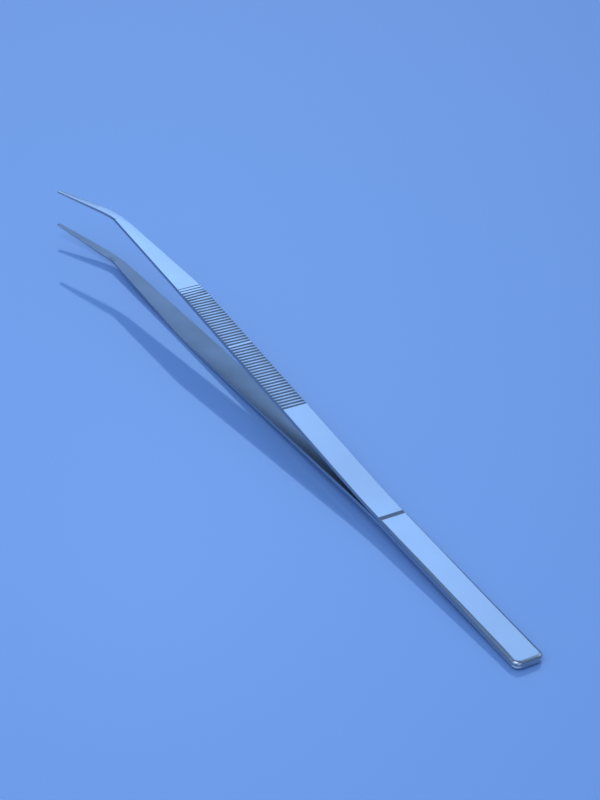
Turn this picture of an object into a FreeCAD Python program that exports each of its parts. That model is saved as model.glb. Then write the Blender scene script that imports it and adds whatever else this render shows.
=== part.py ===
import FreeCAD, Part
import math
import os
import Sketcher

# Slim thumb forceps with angled tips, lying on its side as it comes to rest.
# Two spring arms, each the mirror image of the other, are welded flat to flat along the
# joint. X runs from the joint end to the tips, Y across the blades, Z up from the table.
# The arms are shaped in the forceps' own frame first: there Z = 0 is the plane in which
# they meet, and X = 0 is the joint end.

V = FreeCAD.Vector
# Below this, in millimetres, two positions are the same
TINY = 0.001
# A face that leans from the level by fewer degrees than this is an outer or inner one
LEAN = 25.0

# Driving dimensions, in millimetres: alias, value, what it is
SIZES = (
    ("arm_length", 150.0, "joint end to tips"),
    ("joint_length", 37.85, "joint end to the pressed crease"),
    ("crease_to_spring", 3.65, "pressed crease to where the arms part"),
    ("belly_to_tip", 45.0, "end of the straight spring to the tips"),
    ("bend_to_tip", 13.5, "where the tips turn towards each other, to the tips"),
    ("belly_rise", 4.08, "how far the belly stands out from the joint"),
    ("tip_bend_rise", 0.14, "how far the arm still opens past the belly"),
    ("tip_drop", 1.20, "how far the tip turns back in"),
    ("spring_radius", 137.0, "bend where the arms part"),
    ("belly_radius", 113.0, "bend at the belly"),
    ("tip_bend_radius", 65.0, "bend at the tip's start"),
    ("blade_thick", 0.75, "blade at the joint"),
    ("belly_thick", 0.67, "blade at the belly"),
    ("tip_bend_thick", 0.62, "blade at the tip's start"),
    ("tip_thick", 0.33, "blade at the tip"),
    ("joint_width", 4.65, "blade at the joint end"),
    ("grip_width", 4.70, "blade along the grip"),
    ("shoulder_to_tip", 45.2, "where the blade starts to narrow, to the tips"),
    ("shoulder_radius", 110.0, "plan curve at the shoulder"),
    ("elbow_to_tip", 14.95, "sideways elbow to the tips"),
    ("elbow_skew", 0.95, "how much later the outside of the elbow turns"),
    ("elbow_width", 1.83, "blade at the elbow"),
    ("elbow_aside", 0.37, "blade's middle at the elbow, sideways"),
    ("elbow_inner_radius", 6.0, "plan curve inside the elbow"),
    ("elbow_outer_radius", 30.0, "plan curve outside the elbow"),
    ("tip_aside", 5.33, "tip's middle, sideways"),
    ("tip_width", 0.76, "blade at the tip"),
    ("tip_radius", 0.30, "plan corner at the tip"),
    ("end_radius", 1.10, "plan corner at the joint end"),
    ("end_rounding", 0.62, "rounding of the joint's outer edges, at its end"),
    ("crease_rounding", 0.22, "rounding of the joint's outer edges, at the crease"),
    ("edge_bevel", 0.13, "bevel on the blade's outer edges"),
    ("inner_bevel", 0.10, "bevel on the inner edges"),
    ("crease_width", 0.85, "pressed crease, across its mouth"),
    ("crease_depth", 0.34, "pressed crease, below the face"),
    ("grip_to_tip", 81.45, "first groove to the tips"),
    ("groove_count", 25, "grooves in one set"),
    ("set_count", 2, "sets of grooves"),
    ("groove_pitch", 0.7675, "groove to groove"),
    ("set_gap", 0.10, "extra land between the sets"),
    ("groove_width", 0.42, "groove, across its mouth"),
    ("groove_depth", 0.20, "groove, below the face"),
    ("cutter_margin", 1.0, "how far a cutter runs past what it cuts"),
    ("resting_step", 0.002, "how finely the outer faces are sampled to find how they rest"),
)
# Places along the arm, worked out in the sheet from the lengths above: alias, expression, what it is
PLACES = (
    ("spring_start", "joint_length + crease_to_spring", "joint end to where the arms part"),
    ("grip_start", "arm_length - grip_to_tip", "joint end to the first groove"),
    ("shoulder_at", "arm_length - shoulder_to_tip", "joint end to where the blade starts to narrow"),
    ("belly_at", "arm_length - belly_to_tip", "joint end to the end of the straight spring"),
    ("elbow_at", "arm_length - elbow_to_tip", "joint end to the sideways elbow"),
    ("tip_bend_at", "arm_length - bend_to_tip", "joint end to where the tips turn towards each other"),
)


def make_sheet(doc):
    """The driving dimensions and the places they give, one to a row, each with its alias."""
    sheet = doc.addObject("Spreadsheet::Sheet", "sizes")
    cells = [(alias, str(value), note) for alias, value, note in SIZES]
    cells += [(alias, f"={expression}", note) for alias, expression, note in PLACES]
    for row, (alias, content, note) in enumerate(cells, start=1):
        sheet.set(f"A{row}", note)
        sheet.set(f"B{row}", content)
        sheet.setAlias(f"B{row}", alias)
    doc.recompute()
    return sheet


def size(alias):
    """A dimension's value, for the few steps that no expression can drive."""
    return float(FreeCAD.ActiveDocument.sizes.get(alias))


def new_sketch(body, name, role):
    """An empty sketch on one of the body's own origin planes."""
    plane = next(p for p in body.Origin.OriginFeatures if p.Role == role)
    sketch = body.newObject("Sketcher::SketchObject", name)
    sketch.AttachmentSupport = [(plane, "")]
    sketch.MapMode = "FlatFace"
    return sketch


def bind_point(sketch, line, name, x, y):
    """Hold a line's first point at two expressions, measured from the sketch's origin."""
    axes = (("DistanceX", -2, x), ("DistanceY", -1, y))
    for kind, axis, expression in axes:
        if expression == "0":
            sketch.addConstraint(Sketcher.Constraint("PointOnObject", line, 1, axis))
            continue
        value = float(sketch.evalExpression(expression))
        index = sketch.addConstraint(Sketcher.Constraint(kind, -1, 1, line, 1, value))
        sketch.renameConstraint(index, f"{name}_{kind[-1]}")
        sketch.setExpression(f"Constraints.{name}_{kind[-1]}", expression)


def draw_outline(sketch, name, corners):
    """Draw a closed outline. A corner is its x, its y and the radius that rounds it or None."""
    first = sketch.GeometryCount
    places = [V(*(float(sketch.evalExpression(e)) for e in corner[:2]), 0) for corner in corners]
    for start, end in zip(places, places[1:] + places[:1]):
        sketch.addGeometry(Part.LineSegment(start, end), False)
    lines = range(first, first + len(corners))
    for line in lines:
        following = first + (line - first + 1) % len(corners)
        sketch.addConstraint(Sketcher.Constraint("Coincident", line, 2, following, 1))
    for line, (x, y, _) in zip(lines, corners):
        bind_point(sketch, line, f"{name}{line - first}", x, y)
    for line, (_, _, radius) in zip(lines, corners):
        if radius is None:
            continue
        arc = sketch.GeometryCount
        sketch.fillet(line, 1, float(sketch.evalExpression(radius)), True, True)
        index = sketch.addConstraint(Sketcher.Constraint("Radius", arc, sketch.Geometry[arc].Radius))
        sketch.renameConstraint(index, f"{name}{line - first}_R")
        sketch.setExpression(f"Constraints.{name}{line - first}_R", radius)


def draw_side(sketch):
    """The bent and tapered strip, seen from the side: its outer face, then its inner one."""
    belly = "sizes.blade_thick + sizes.belly_rise"
    tip_bend = f"{belly} + sizes.tip_bend_rise"
    tip = f"{tip_bend} - sizes.tip_drop"
    draw_outline(sketch, "side", (
        ("0", "0", None),
        ("0", "sizes.blade_thick", None),
        ("sizes.spring_start", "sizes.blade_thick", "sizes.spring_radius"),
        ("sizes.belly_at", belly, "sizes.belly_radius"),
        ("sizes.tip_bend_at", tip_bend, "sizes.tip_bend_radius"),
        ("sizes.arm_length", tip, None),
        ("sizes.arm_length", f"{tip} - sizes.tip_thick", None),
        ("sizes.tip_bend_at", f"{tip_bend} - sizes.tip_bend_thick", "sizes.tip_bend_radius"),
        ("sizes.belly_at", f"{belly} - sizes.belly_thick", "sizes.belly_radius"),
        ("sizes.spring_start", "0", "sizes.spring_radius"),
    ))


def draw_waste(sketch):
    """Everything round the blade's plan, as a wide frame with the blade's outline inside."""
    rear = "-sizes.cutter_margin"
    front = "sizes.arm_length + sizes.cutter_margin"
    aside = "sizes.tip_aside + sizes.grip_width + sizes.cutter_margin"
    draw_outline(sketch, "frame", (
        (rear, f"-({aside})", None),
        (front, f"-({aside})", None),
        (front, aside, None),
        (rear, aside, None),
    ))
    outer_elbow = ("sizes.elbow_at + sizes.elbow_skew / 2", "sizes.elbow_aside - sizes.elbow_width / 2")
    inner_elbow = ("sizes.elbow_at - sizes.elbow_skew / 2", "sizes.elbow_aside + sizes.elbow_width / 2")
    draw_outline(sketch, "plan", (
        ("0", "-sizes.joint_width / 2", "sizes.end_radius"),
        ("sizes.grip_start", "-sizes.grip_width / 2", None),
        ("sizes.shoulder_at", "-sizes.grip_width / 2", "sizes.shoulder_radius"),
        (*outer_elbow, "sizes.elbow_outer_radius"),
        ("sizes.arm_length", "sizes.tip_aside - sizes.tip_width / 2", "sizes.tip_radius"),
        ("sizes.arm_length", "sizes.tip_aside + sizes.tip_width / 2", "sizes.tip_radius"),
        (*inner_elbow, "sizes.elbow_inner_radius"),
        ("sizes.shoulder_at", "sizes.grip_width / 2", "sizes.shoulder_radius"),
        ("sizes.grip_start", "sizes.grip_width / 2", None),
        ("0", "sizes.joint_width / 2", "sizes.end_radius"),
    ))


def make_blank(doc):
    """The arm as bent from strip and cut to its plan, with every edge still sharp."""
    body = doc.addObject("PartDesign::Body", "arm_blank")
    side = new_sketch(body, "side_view", "XZ_Plane")
    draw_side(side)
    strip = body.newObject("PartDesign::Pad", "bent_strip")
    strip.Profile = side
    strip.Midplane = True
    strip.setExpression("Length", "2 * (sizes.tip_aside + sizes.grip_width)")
    doc.recompute()
    waste = new_sketch(body, "plan_view", "XY_Plane")
    draw_waste(waste)
    trim = body.newObject("PartDesign::Pocket", "trimmed_strip")
    trim.Profile = waste
    trim.Type = "ThroughAll"
    trim.Midplane = True
    doc.recompute()
    return body


def make_joint_room(doc):
    """A box round the joint, up to the crease."""
    room = doc.addObject("Part::Box", "joint_room")
    room.setExpression("Length", "sizes.joint_length + sizes.cutter_margin")
    room.setExpression("Width", "sizes.grip_width + 2 * sizes.cutter_margin")
    room.setExpression("Height", "sizes.blade_thick + 2 * sizes.cutter_margin")
    room.setExpression("Placement.Base.x", "-sizes.cutter_margin")
    room.setExpression("Placement.Base.y", "-(sizes.grip_width / 2 + sizes.cutter_margin)")
    room.setExpression("Placement.Base.z", "-sizes.cutter_margin")
    doc.recompute()
    return room


def combine(doc, kind, name, base, tool):
    """What two shapes share (Common), the base without the tool (Cut), or both as one (Fuse)."""
    result = doc.addObject(f"Part::{kind}", name)
    result.Base = base
    result.Tool = tool
    doc.recompute()
    return result


def face_side(face):
    """1 for the outer face, -1 for the inner one and 0 for the faces round the edge."""
    u_low, u_high, v_low, v_high = face.ParameterRange
    up = face.normalAt((u_low + u_high) / 2, (v_low + v_high) / 2).z
    return round(up) if abs(up) > math.cos(math.radians(LEAN)) else 0


def rim(shape, side):
    """The edges between the outer (1) or inner (-1) face and the blade's rim, by number."""
    sides = [(face_side(face), face.Edges) for face in shape.Faces]
    edges = []
    for number, edge in enumerate(shape.Edges, start=1):
        touching = {found for found, own in sides if any(edge.isSame(e) for e in own)}
        across = all(abs(v.X - size("joint_length")) < TINY for v in edge.Vertexes)
        if touching == {0, side} and not across:
            edges.append((number, edge))
    return edges


def joint_rounding_at(x):
    """The joint's outer edges grow rounder from the crease to the corners at its end."""
    crisp = size("crease_rounding")
    full = size("end_rounding")
    start = size("joint_length")
    share = (start - x) / (start - size("end_radius"))
    return crisp + (full - crisp) * min(share, 1.0)


def make_joint_part(doc, blank, room):
    """The arm up to the crease, with rounded outer edges and bevelled inner ones."""
    block = combine(doc, "Common", "joint_block", blank, room)
    rounded = doc.addObject("Part::Fillet", "rounded_joint")
    rounded.Base = block
    rounded.Edges = [(number, joint_rounding_at(edge.Vertexes[0].X), joint_rounding_at(edge.Vertexes[-1].X))
                     for number, edge in rim(block.Shape, 1)]
    doc.recompute()
    return bevel(doc, "joint_part", rounded, (-1,))


def make_blade_part(doc, blank, room):
    """The arm beyond the crease, bevelled all round."""
    block = combine(doc, "Cut", "blade_block", blank, room)
    return bevel(doc, "blade_part", block, (1, -1))


def bevel(doc, name, base, sides):
    """The base with a bevel along its rim on the given sides."""
    widths = {1: size("edge_bevel"), -1: size("inner_bevel")}
    bevelled = doc.addObject("Part::Chamfer", name)
    bevelled.Base = base
    bevelled.Edges = [(number, widths[side], widths[side]) for side in sides
                      for number, _ in rim(base.Shape, side)]
    doc.recompute()
    return bevelled


def make_cutter(doc, name, width, depth):
    """A V-shaped cutter across the blade, its tip below Z = 0 and its mouth on it."""
    body = doc.addObject("PartDesign::Body", name)
    section = new_sketch(body, f"{name}_section", "XZ_Plane")
    flare = f"{width} / 2 * (1 + sizes.cutter_margin / {depth})"
    draw_outline(section, "notch", (
        ("0", f"-{depth}", None),
        (flare, "sizes.cutter_margin", None),
        (f"-({flare})", "sizes.cutter_margin", None),
    ))
    bar = body.newObject("PartDesign::Pad", f"{name}_bar")
    bar.Profile = section
    bar.Midplane = True
    bar.setExpression("Length", "sizes.grip_width + 2 * sizes.cutter_margin")
    doc.recompute()
    return body, bar


def make_crease_cutter(doc):
    """The one crease that marks the end of the joint."""
    body, _ = make_cutter(doc, "crease", "sizes.crease_width", "sizes.crease_depth")
    body.setExpression("Placement.Base.x", "sizes.joint_length")
    body.setExpression("Placement.Base.z", "sizes.blade_thick")
    doc.recompute()
    return body


def make_grip_cutter(doc):
    """The grip's grooves, in sets, along the straight outer face of the spring."""
    body, bar = make_cutter(doc, "grip", "sizes.groove_width", "sizes.groove_depth")
    along = next(a for a in body.Origin.OriginFeatures if a.Role == "X_Axis")
    grooves = body.newObject("PartDesign::MultiTransform", "grip_sets")
    grooves.Originals = [bar]
    one_set = body.newObject("PartDesign::LinearPattern", "one_set")
    one_set.setExpression("Length", "sizes.groove_pitch * (sizes.groove_count - 1)")
    one_set.setExpression("Occurrences", "sizes.groove_count")
    all_sets = body.newObject("PartDesign::LinearPattern", "all_sets")
    all_sets.setExpression("Length", "(sizes.groove_pitch * sizes.groove_count + sizes.set_gap)"
                                     " * (sizes.set_count - 1)")
    all_sets.setExpression("Occurrences", "sizes.set_count")
    for pattern in (one_set, all_sets):
        pattern.Direction = (along, [""])
    grooves.Transformations = [one_set, all_sets]
    body.Tip = grooves
    slope = "sizes.belly_rise / (sizes.belly_at - sizes.spring_start)"
    body.Placement.Rotation = FreeCAD.Rotation(V(0, -1, 0), 1)
    body.setExpression("Placement.Rotation.Angle", f"atan({slope})")
    body.setExpression("Placement.Base.x", "sizes.grip_start")
    body.setExpression("Placement.Base.z",
                       f"sizes.blade_thick + (sizes.grip_start - sizes.spring_start) * {slope}")
    doc.recompute()
    return body


def resting_slope(shape):
    """The slope of the line that the lower arm rests on, in the forceps' own frame.

    The forceps is mirrored in Z = 0, so this is the line on top of the upper arm: it
    touches the arm behind and ahead of the centre of mass and has the whole arm under it.
    """
    middle = shape.CenterOfGravity.x
    outer = [face for face in shape.Faces if face_side(face) == 1]
    points = [point for face in outer for point in face.tessellate(size("resting_step"))[0]]
    rear = [p for p in points if p.x < middle]
    front = [p for p in points if p.x > middle]
    behind = max(rear, key=lambda p: p.z)
    slope = None
    while True:
        ahead = max(front, key=lambda p: (p.z - behind.z) / (p.x - behind.x))
        behind = min(rear, key=lambda p: (ahead.z - p.z) / (ahead.x - p.x))
        last, slope = slope, (ahead.z - behind.z) / (ahead.x - behind.x)
        if slope == last:
            return slope


def rest_on_table(doc, arm):
    """Lay the forceps on the table, and mirror the lower arm from the upper one."""
    tilt = math.degrees(math.atan(resting_slope(arm.Shape)))
    turn = FreeCAD.Rotation(V(0, -1, 0), tilt)
    arm.Placement = FreeCAD.Placement(V(0, 0, 0), turn)
    lower = doc.addObject("Part::Mirroring", "lower_arm")
    lower.Source = arm
    lower.Normal = turn.multVec(V(0, 0, 1))
    doc.recompute()
    box = arm.Shape.optimalBoundingBox(False, False)
    box.add(lower.Shape.optimalBoundingBox(False, False))
    place = V(-box.Center.x, -box.Center.y, -box.ZMin)
    arm.Placement = FreeCAD.Placement(place, turn)
    lower.Base = place
    doc.recompute()
    return lower


def check(doc, nodes):
    """Stop if any object failed or any sub-part isn't one valid solid."""
    for item in doc.Objects:
        if "Invalid" in item.State or "Error" in item.State:
            raise RuntimeError(f"{item.Name} failed: {item.State}")
    for node in nodes:
        if node.Shape.isNull() or not node.Shape.isValid() or len(node.Shape.Solids) != 1:
            raise RuntimeError(f"{node.Name} isn't one valid solid")


def main():
    doc = FreeCAD.newDocument("thumb_forceps")
    make_sheet(doc)
    blank = make_blank(doc)
    room = make_joint_room(doc)
    joint = make_joint_part(doc, blank, room)
    blade = make_blade_part(doc, blank, room)
    smooth = combine(doc, "Fuse", "smooth_arm", joint, blade)
    creased = combine(doc, "Cut", "creased_arm", smooth, make_crease_cutter(doc))
    upper = combine(doc, "Cut", "upper_arm", creased, make_grip_cutter(doc))
    lower = rest_on_table(doc, upper)
    nodes = (upper, lower)
    check(doc, nodes)
    os.makedirs("parts", exist_ok=True)
    for node in nodes:
        node.Label = node.Name
        node.Shape.exportStep(f"parts/{node.Label}.step")
        box = node.Shape.BoundBox
        print(f"{node.Label}: {node.Shape.Volume:.1f} mm3, {box}")


main()
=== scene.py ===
import math

import bmesh
import bpy
from bpy.props import FloatProperty, FloatVectorProperty, PointerProperty, StringProperty
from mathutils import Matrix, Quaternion, Vector


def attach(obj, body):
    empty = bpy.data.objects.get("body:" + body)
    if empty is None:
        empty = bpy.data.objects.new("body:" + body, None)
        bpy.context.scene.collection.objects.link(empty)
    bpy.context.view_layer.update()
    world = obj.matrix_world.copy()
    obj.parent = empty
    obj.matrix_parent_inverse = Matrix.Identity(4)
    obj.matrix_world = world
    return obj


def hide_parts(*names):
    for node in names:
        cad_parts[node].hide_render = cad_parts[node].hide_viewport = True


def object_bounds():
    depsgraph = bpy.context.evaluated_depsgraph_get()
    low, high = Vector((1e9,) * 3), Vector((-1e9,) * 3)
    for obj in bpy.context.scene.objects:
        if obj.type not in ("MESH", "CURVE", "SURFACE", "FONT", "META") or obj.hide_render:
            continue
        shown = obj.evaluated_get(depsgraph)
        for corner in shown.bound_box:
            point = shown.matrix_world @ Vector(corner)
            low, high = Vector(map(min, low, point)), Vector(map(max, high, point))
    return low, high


bl_info = {
    "name": "Angled thumb forceps",
    "version": (1, 0, 0),
    "blender": (4, 5, 0),
    "location": "View3D > Sidebar > Forceps",
    "description": "Finishes a pair of slim thumb forceps and sets them on a pale table",
    "category": "Object",
}

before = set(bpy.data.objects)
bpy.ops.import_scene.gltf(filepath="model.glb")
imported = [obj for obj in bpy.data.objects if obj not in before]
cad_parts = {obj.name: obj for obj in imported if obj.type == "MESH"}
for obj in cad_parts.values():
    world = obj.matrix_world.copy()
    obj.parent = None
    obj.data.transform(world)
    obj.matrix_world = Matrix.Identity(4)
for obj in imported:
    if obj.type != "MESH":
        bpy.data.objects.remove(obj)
CAD_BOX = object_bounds()
BODY = "root"
# Each arm and the way that its inner face looks: 1 is up
ARMS = {"upper_arm": -1, "lower_arm": 1}
MM = 0.001
# Corners of an arm's triangles that are nearer than this are one point
MERGE_DISTANCE = 0.0001 * MM
# A face is a bevel along an arm's side where the sideways part of its normal lies between these
BEVEL_LEANS = (0.3, 0.95)
# An edge runs along the blade where X has more than this share of its length
LENGTHWISE = 0.8
# The most that Blender allows: the largest face at a corner decides how the corner is shaded
FLAT_FACE_WEIGHT = 100
# How far the roughness differs from place to place, up and down
POLISHED_VARIATION = 0.03
GROUND_VARIATION = 0.04
# The polished faces keep the ground faces' line depth divided by this
POLISHED_DEPTH_PART = 3
# The lines' pattern is drawn out along X, the length of the blade
LINE_STRETCH = (0.02, 1.0, 1.0)
# Nearly all of a noise texture's values lie between these
NOISE_RANGE = (0.3, 0.7)
# Blender takes a camera's sensor and lens in millimetres
SENSOR_WIDTH = 36.0
# The camera shows nothing that is nearer to it than this
NEAREST_SHOWN = 10 * MM


# Colours and nodes

def linear(code):
    """A colour written as sRGB hex, in the linear values that a shader works with, and opaque."""
    values = [int(code[i:i + 2], 16) / 255 for i in (1, 3, 5)]
    # These numbers are the sRGB standard's own
    return (*(v / 12.92 if v <= 0.04045 else ((v + 0.055) / 1.055) ** 2.4 for v in values), 1.0)


def add_node(tree, kind, links=None, **values):
    """A node of that kind, with its inputs' links and its inputs' values."""
    node = tree.nodes.new(kind)
    for name, value in values.items():
        node.inputs[name.replace("_", " ")].default_value = value
    for name, source in (links or {}).items():
        tree.links.new(source, node.inputs[name])
    return node


def new_material(name):
    """An empty material and its node tree."""
    material = bpy.data.materials.new(name)
    material.use_nodes = True
    material.node_tree.nodes.clear()
    return material, material.node_tree


def towards(bearing, height):
    """The direction with that bearing, anticlockwise from X, and that height above the table."""
    level = math.cos(height)
    return Vector((level * math.cos(bearing), level * math.sin(bearing), math.sin(height)))


# Sizes and colours that a user may change

class ForcepsSteel(bpy.types.PropertyGroup):
    colour: StringProperty(
        name="Outer colour", description="Colour of the polished steel, as sRGB hex",
        default="#C6CCD3")
    # Painted shade: the inner faces get a darker colour than the outer ones, for the shade in the gap
    # between the arms; their ground finish is only their higher roughness
    inner_shade_colour: StringProperty(
        name="Inner colour", description="Colour of the ground steel, whose fine furrows hold light"
        " back, as sRGB hex", default="#9299A2")
    polish: FloatProperty(
        name="Outer roughness", description="How far the polished outer faces fall short of a mirror",
        default=0.22, min=0.0, max=1.0, subtype="FACTOR")
    ground: FloatProperty(
        name="Inner roughness", description="How far the ground inner faces fall short of a mirror",
        default=0.42, min=0.0, max=1.0, subtype="FACTOR")
    grain_pitch: FloatProperty(
        name="Grinding line pitch", description="Distance between the faint lengthwise lines",
        default=0.45 * MM, min=0.05 * MM, unit="LENGTH")
    grain_depth: FloatProperty(
        name="Grinding line depth", description="Depth that the inner faces' lines are shaded with;"
        " the polished faces keep a third of it", default=0.0018 * MM, min=0.0, unit="LENGTH")
    smudge_size: FloatProperty(
        name="Smudge size", description="Size of the areas where the gloss differs a little",
        default=9.0 * MM, min=1.0 * MM, unit="LENGTH")
    crisp_angle: FloatProperty(
        name="Crisp edge", description="Faces that meet at more than this keep a crisp edge",
        default=math.radians(28.0), min=0.0, subtype="ANGLE", unit="ROTATION")
    rounded_angle: FloatProperty(
        name="Rounded edge", description="The bevel along an edge is shaded round into faces that it"
        " meets at less than this", default=math.radians(62.0), min=0.0, subtype="ANGLE",
        unit="ROTATION")
    joint_length: FloatProperty(
        name="Joint length", description="From the joint end to the pressed crease",
        default=37.85 * MM, min=1.0 * MM, unit="LENGTH")
    joint_flare: FloatProperty(
        name="Joint flare", description="What the joint end is wider by than the joint is at the"
        " crease, on the side of the bent tips; the other side runs straight",
        default=0.65 * MM, min=0.0, unit="LENGTH")
    end_corner: FloatProperty(
        name="Joint end's corner", description="Stretch at the joint end that keeps the form of its"
        " rounded corners", default=1.8 * MM, min=0.1 * MM, unit="LENGTH")
    inner_lean: FloatProperty(
        name="Inner face's lean", description="A face that leans from the level by less than this,"
        " towards the other arm, is an inner face", default=math.radians(25.0), min=0.0,
        subtype="ANGLE", unit="ROTATION")


class ForcepsStage(bpy.types.PropertyGroup):
    floor_colour: StringProperty(
        name="Floor colour", description="Colour of the table, as sRGB hex", default="#93B9EE")
    floor_roughness: FloatProperty(
        name="Floor roughness", description="How far the table's lacquer falls short of a mirror",
        default=0.06, min=0.0, max=1.0, subtype="FACTOR")
    floor_ior: FloatProperty(
        name="Floor refraction", description="Refractive index of the table's lacquer: the higher,"
        " the more it mirrors", default=1.9, min=1.0)
    floor_size: FloatProperty(
        name="Floor size", description="Side of the square table", default=6.0, min=0.5,
        unit="LENGTH")
    room_colour: StringProperty(
        name="Room colour", description="Colour of the room round the table, as sRGB hex",
        default="#86ABE0")
    room_light: FloatProperty(
        name="Room light", description="Strength of the light from the room", default=0.45, min=0.0)
    softbox_distance: FloatProperty(
        name="Softbox distance", description="From the forceps to each softbox", default=1.0,
        unit="LENGTH")
    back_colour: StringProperty(
        name="Back softbox colour", description="Colour of the softbox behind the forceps, as sRGB"
        " hex", default="#9EC7FF")
    back_bearing: FloatProperty(
        name="Back softbox bearing", description="Direction of the softbox behind the forceps, from X",
        default=math.radians(-27.0), subtype="ANGLE", unit="ROTATION")
    back_height: FloatProperty(
        name="Back softbox height", description="Its angle above the table",
        default=math.radians(37.0), subtype="ANGLE", unit="ROTATION")
    back_size: FloatVectorProperty(
        name="Back softbox size", description="Its width and its height", default=(0.9, 0.9),
        size=2, unit="LENGTH")
    back_spread: FloatProperty(
        name="Back softbox spread", description="Angle that its grid lets the light fan out by, so"
        " that its mirror image fades towards its edges", default=math.radians(66.0),
        subtype="ANGLE", unit="ROTATION")
    back_power: FloatProperty(
        name="Back softbox power", description="Its power in watts", default=0.49, min=0.0)
    top_colour: StringProperty(
        name="Top softbox colour", description="Colour of the softbox above the camera's side, as"
        " sRGB hex", default="#C9DFFF")
    top_bearing: FloatProperty(
        name="Top softbox bearing", description="Direction of the softbox above, from X",
        default=math.radians(110.0), subtype="ANGLE", unit="ROTATION")
    top_height: FloatProperty(
        name="Top softbox height", description="Its angle above the table",
        default=math.radians(62.0), subtype="ANGLE", unit="ROTATION")
    top_size: FloatVectorProperty(
        name="Top softbox size", description="Its width and its height", default=(0.7, 0.7),
        size=2, unit="LENGTH")
    top_spread: FloatProperty(
        name="Top softbox spread", description="Angle that its light fans out by; it has no grid",
        default=math.radians(180.0), subtype="ANGLE", unit="ROTATION")
    top_power: FloatProperty(
        name="Top softbox power", description="Its power in watts", default=2.6, min=0.0)
    fill_colour: StringProperty(
        name="Fill softbox colour", description="Colour of the softboxes round the other sides, as"
        " sRGB hex", default="#C9DFFF")
    fill_bearings: FloatVectorProperty(
        name="Fill softbox bearings", description="Direction of each softbox round the other sides,"
        " from X", default=(math.radians(80.0), math.radians(165.0), math.radians(-90.0)),
        size=3, subtype="EULER", unit="ROTATION")
    fill_height: FloatProperty(
        name="Fill softbox height", description="Their angle above the table",
        default=math.radians(35.0), subtype="ANGLE", unit="ROTATION")
    fill_size: FloatVectorProperty(
        name="Fill softbox size", description="Their width and their height", default=(1.2, 1.2),
        size=2, unit="LENGTH")
    fill_spread: FloatProperty(
        name="Fill softbox spread", description="Angle that their grids let the light fan out by",
        default=math.radians(70.0), subtype="ANGLE", unit="ROTATION")
    fill_power: FloatProperty(
        name="Fill softbox power", description="The power of each in watts", default=0.45, min=0.0)


class ForcepsCamera(bpy.types.PropertyGroup):
    target: FloatVectorProperty(
        name="Target", description="Point on the table in the middle of the picture, measured from"
        " the lowest corner of the forceps' box: the joint end and the blades' straight side",
        default=(77.41 * MM, -4.34 * MM, 0.0), size=3, subtype="TRANSLATION", unit="LENGTH")
    distance: FloatProperty(
        name="Distance", description="From the target to the camera", default=356.29 * MM,
        unit="LENGTH")
    bearing: FloatProperty(
        name="Bearing", description="Direction from the target to the camera, anticlockwise from X",
        default=math.radians(147.95), subtype="ANGLE", unit="ROTATION")
    height: FloatProperty(
        name="Height", description="Angle of the camera above the table",
        default=math.radians(32.19), subtype="ANGLE", unit="ROTATION")
    roll: FloatProperty(
        name="Roll", description="Turn of the camera about its own line of sight",
        default=math.radians(2.87), subtype="ANGLE", unit="ROTATION")
    lens: FloatProperty(
        name="Lens", description="Focal length in millimetres, for a long side of 36 mm",
        default=92.79, min=10.0)


# Materials

def bare_steel(name, steel, colour, roughness, variation, depth):
    """Stainless steel with fine lengthwise lines, and a gloss that differs a little over its areas."""
    material, tree = new_material(name)
    place = add_node(tree, "ShaderNodeTexCoord").outputs["Object"]
    smudges = add_node(tree, "ShaderNodeTexNoise", {"Vector": place},
                       Scale=1 / steel.smudge_size, Detail=3.0, Roughness=0.55)
    lowest, highest = NOISE_RANGE
    gloss = add_node(tree, "ShaderNodeMapRange", {"Value": smudges.outputs["Fac"]},
                     From_Min=lowest, From_Max=highest,
                     To_Min=roughness - variation, To_Max=roughness + variation)
    # The real lines are about 0.02 mm apart; these are coarser so that they show at all
    stretched = add_node(tree, "ShaderNodeMapping", {"Vector": place}, Scale=LINE_STRETCH)
    lines = add_node(tree, "ShaderNodeTexNoise", {"Vector": stretched.outputs["Vector"]},
                     Scale=1 / steel.grain_pitch, Detail=2.0, Roughness=0.6)
    grain = add_node(tree, "ShaderNodeBump", {"Height": lines.outputs["Fac"]},
                     Strength=1.0, Distance=depth)
    shader = add_node(tree, "ShaderNodeBsdfPrincipled",
                      {"Roughness": gloss.outputs["Result"], "Normal": grain.outputs["Normal"]},
                      Base_Color=linear(colour), Metallic=1.0)
    add_node(tree, "ShaderNodeOutputMaterial", {"Surface": shader.outputs["BSDF"]})
    return material


def polished_steel(steel):
    """Stainless spring steel, satin polished: the outside mirrors the room softly."""
    return bare_steel("stainless_steel_satin_polished", steel, steel.colour, steel.polish,
                      POLISHED_VARIATION, steel.grain_depth / POLISHED_DEPTH_PART)


def ground_steel_painted_shade(steel):
    """The same steel as the belt left it, rougher, with no clear reflection; its darker colour is
    painted shade that the other arm casts over the inner faces.
    """
    return bare_steel("stainless_steel_ground", steel, steel.inner_shade_colour, steel.ground,
                      GROUND_VARIATION, steel.grain_depth)


def glossy_table(stage):
    """A pale lacquered board: flat colour under a clear, level skin that mirrors faintly."""
    material, tree = new_material("lacquered_board_glossy")
    shader = add_node(tree, "ShaderNodeBsdfPrincipled", Base_Color=linear(stage.floor_colour),
                      Roughness=stage.floor_roughness, Metallic=0.0, IOR=stage.floor_ior)
    add_node(tree, "ShaderNodeOutputMaterial", {"Surface": shader.outputs["BSDF"]})
    return material


# The operators

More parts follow.
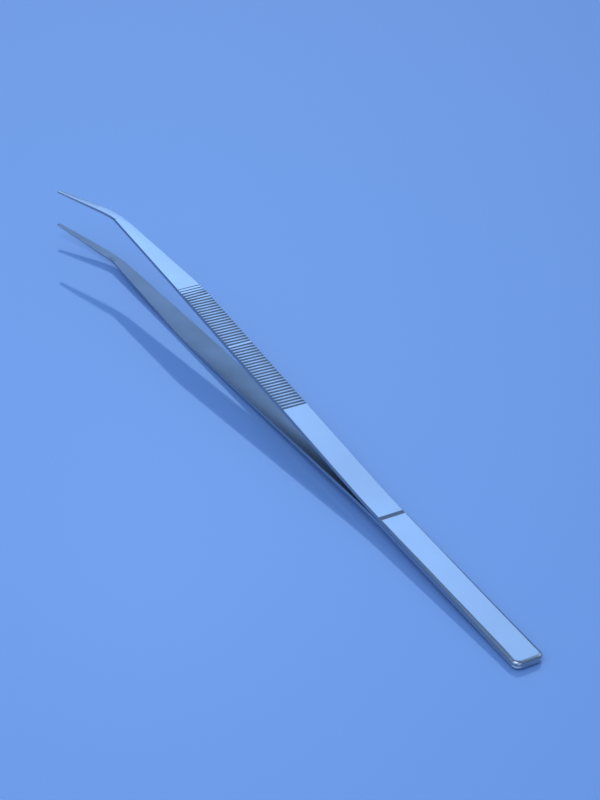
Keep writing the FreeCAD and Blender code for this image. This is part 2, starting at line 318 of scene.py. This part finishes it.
class FORCEPS_OT_finish_arms(bpy.types.Operator):
    """Make the skin of both spring arms: crisp edges, polished outside, and ground inside with a
    darker colour as painted shade between the arms
    """
    bl_idname = "forceps.finish_arms"
    bl_label = "Finish the arms"

    def execute(self, context):
        steel = context.scene.forceps_steel
        finishes_and_painted_shade = (polished_steel(steel), ground_steel_painted_shade(steel))
        for name, inward in ARMS.items():
            skin = self.smooth_skin(context, name, steel)
            for finish in finishes_and_painted_shade:
                skin.data.materials.append(finish)
            # Faces turned towards the other arm get the ground steel, whose darker colour is painted
            # shade between the arms
            for face in skin.data.polygons:
                face.material_index = int(face.normal.z * inward > math.cos(steel.inner_lean))
            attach(skin, BODY)
            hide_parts(name)
        return {"FINISHED"}

    def smooth_skin(self, context, name, steel):
        """A copy of the arm with its triangles merged, its bends shaded smooth and its edges crisp."""
        skin = bpy.data.objects.new(f"{name}_skin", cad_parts[name].data.copy())
        context.scene.collection.objects.link(skin)
        skin.data.materials.clear()
        bpy.ops.object.select_all(action="DESELECT")
        skin.select_set(True)
        context.view_layer.objects.active = skin
        bpy.ops.object.mode_set(mode="EDIT")
        bpy.ops.mesh.select_all(action="SELECT")
        bpy.ops.mesh.remove_doubles(threshold=MERGE_DISTANCE)
        bpy.ops.mesh.select_all(action="DESELECT")
        bpy.ops.object.mode_set(mode="OBJECT")
        self.flare_joint(skin.data, steel)
        if skin.data.has_custom_normals:
            bpy.ops.mesh.customdata_custom_splitnormals_clear()
        bpy.ops.object.shade_smooth_by_angle(angle=steel.crisp_angle)
        self.round_bevels(skin.data, steel.rounded_angle)
        # Large flat faces keep their own normal, so that only the bends are shaded round
        even = skin.modifiers.new("even_flats", "WEIGHTED_NORMAL")
        even.keep_sharp = True
        even.weight = FLAT_FACE_WEIGHT
        bpy.ops.object.modifier_apply(modifier=even.name)
        return skin

    def flare_joint(self, mesh, steel):
        """Widen the joint end, and less towards the crease, with its straight side left in line."""
        end = [v for v in mesh.vertices if v.co.x < CAD_BOX[0][0] + steel.end_corner]
        for vertex in end:
            vertex.select = True
        across = [v.co.y for v in end]
        wider = 1 + steel.joint_flare / (max(across) - min(across))
        bpy.ops.object.mode_set(mode="EDIT")
        bpy.ops.transform.resize(
            value=(1, wider, 1), center_override=(0, min(across), 0), use_proportional_edit=True,
            proportional_edit_falloff="LINEAR",
            proportional_size=steel.joint_length - steel.end_corner)
        bpy.ops.object.mode_set(mode="OBJECT")

    def round_bevels(self, mesh, widest):
        """Let the narrow bevels along the arm's sides be shaded round, as polishing leaves them."""
        least, most = BEVEL_LEANS
        shape = bmesh.new()
        shape.from_mesh(mesh)
        for edge in shape.edges:
            bevels = [least < abs(face.normal.y) < most for face in edge.link_faces]
            run = edge.verts[1].co - edge.verts[0].co
            lengthwise = abs(run.x) > LENGTHWISE * run.length
            if lengthwise and len(bevels) == 2 and any(bevels) and edge.calc_face_angle() < widest:
                edge.smooth = True
        shape.to_mesh(mesh)
        shape.free()


class FORCEPS_OT_build_stage(bpy.types.Operator):
    """Add the table, the room and the softboxes"""
    bl_idname = "forceps.build_stage"
    bl_label = "Build the stage"

    def execute(self, context):
        stage = context.scene.forceps_stage
        bpy.ops.object.select_all(action="DESELECT")
        bpy.ops.mesh.primitive_plane_add(size=stage.floor_size)
        table = context.active_object
        table.name = "table_top"
        table.data.materials.append(glossy_table(stage))
        world = bpy.data.worlds.new("pale_room")
        world.use_nodes = True
        context.scene.world = world
        background = world.node_tree.nodes["Background"]
        background.inputs["Color"].default_value = linear(stage.room_colour)
        background.inputs["Strength"].default_value = stage.room_light
        # The arms' outer faces mirror the back softbox in the camera's view, the top one lights the
        # table, and the fill ones are what the steel mirrors in other views
        self.add_softbox(context, stage, "back", stage.back_bearing)
        self.add_softbox(context, stage, "top", stage.top_bearing)
        for bearing in stage.fill_bearings:
            self.add_softbox(context, stage, "fill", bearing)
        return {"FINISHED"}

    def add_softbox(self, context, stage, place, bearing):
        """A softbox that faces the forceps from that bearing, with its place's other settings."""
        height, size, spread, power, colour = (
            getattr(stage, f"{place}_{what}")
            for what in ("height", "size", "spread", "power", "colour"))
        outwards = towards(bearing, height)
        bpy.ops.object.light_add(type="AREA", location=outwards * stage.softbox_distance,
                                 rotation=(-outwards).to_track_quat("-Z", "Y").to_euler())
        lamp = context.active_object
        lamp.name = f"{place}_softbox"
        lamp.visible_camera = False
        lamp.data.shape = "RECTANGLE"
        lamp.data.size, lamp.data.size_y = size
        lamp.data.spread = spread
        lamp.data.energy = power
        lamp.data.color = linear(colour)[:3]


class FORCEPS_OT_place_camera(bpy.types.Operator):
    """Place the camera where the photograph was taken from"""
    bl_idname = "forceps.place_camera"
    bl_label = "Place the camera"

    def execute(self, context):
        view = context.scene.forceps_camera
        target = Vector(CAD_BOX[0]) + Vector(view.target)
        back = towards(view.bearing, view.height)
        bpy.ops.object.camera_add(location=target + back * view.distance)
        camera = context.active_object
        camera.name = "photo_camera"
        camera.data.lens = view.lens
        camera.data.sensor_width = SENSOR_WIDTH
        camera.data.clip_start = NEAREST_SHOWN
        camera.rotation_mode = "QUATERNION"
        sight = (-back).to_track_quat("-Z", "Y")
        camera.rotation_quaternion = sight @ Quaternion((0, 0, 1), view.roll)
        context.scene.camera = camera
        context.scene.view_settings.view_transform = "Standard"
        return {"FINISHED"}


class FORCEPS_PT_panel(bpy.types.Panel):
    """The steps that finish the forceps and set the scene"""
    bl_idname = "FORCEPS_PT_panel"
    bl_label = "Thumb forceps"
    bl_space_type = "VIEW_3D"
    bl_region_type = "UI"
    bl_category = "Forceps"

    def draw(self, context):
        for step in STEPS:
            self.layout.operator(step.bl_idname)
        for name in GROUPS:
            group = getattr(context.scene, name)
            column = self.layout.column(align=True)
            for setting in group.bl_rna.properties.keys():
                if setting not in ("rna_type", "name"):
                    column.prop(group, setting)


STEPS = (FORCEPS_OT_finish_arms, FORCEPS_OT_build_stage, FORCEPS_OT_place_camera)
GROUPS = {
    "forceps_steel": ForcepsSteel,
    "forceps_stage": ForcepsStage,
    "forceps_camera": ForcepsCamera,
}
CLASSES = (*GROUPS.values(), *STEPS, FORCEPS_PT_panel)


def register():
    for cls in CLASSES:
        bpy.utils.register_class(cls)
    for name, group in GROUPS.items():
        setattr(bpy.types.Scene, name, PointerProperty(type=group))


def unregister():
    for name in GROUPS:
        delattr(bpy.types.Scene, name)
    for cls in reversed(CLASSES):
        bpy.utils.unregister_class(cls)


def main():
    register()
    bpy.ops.forceps.finish_arms()
    bpy.ops.forceps.build_stage()
    bpy.ops.forceps.place_camera()


if __name__ == "__main__":
    main()
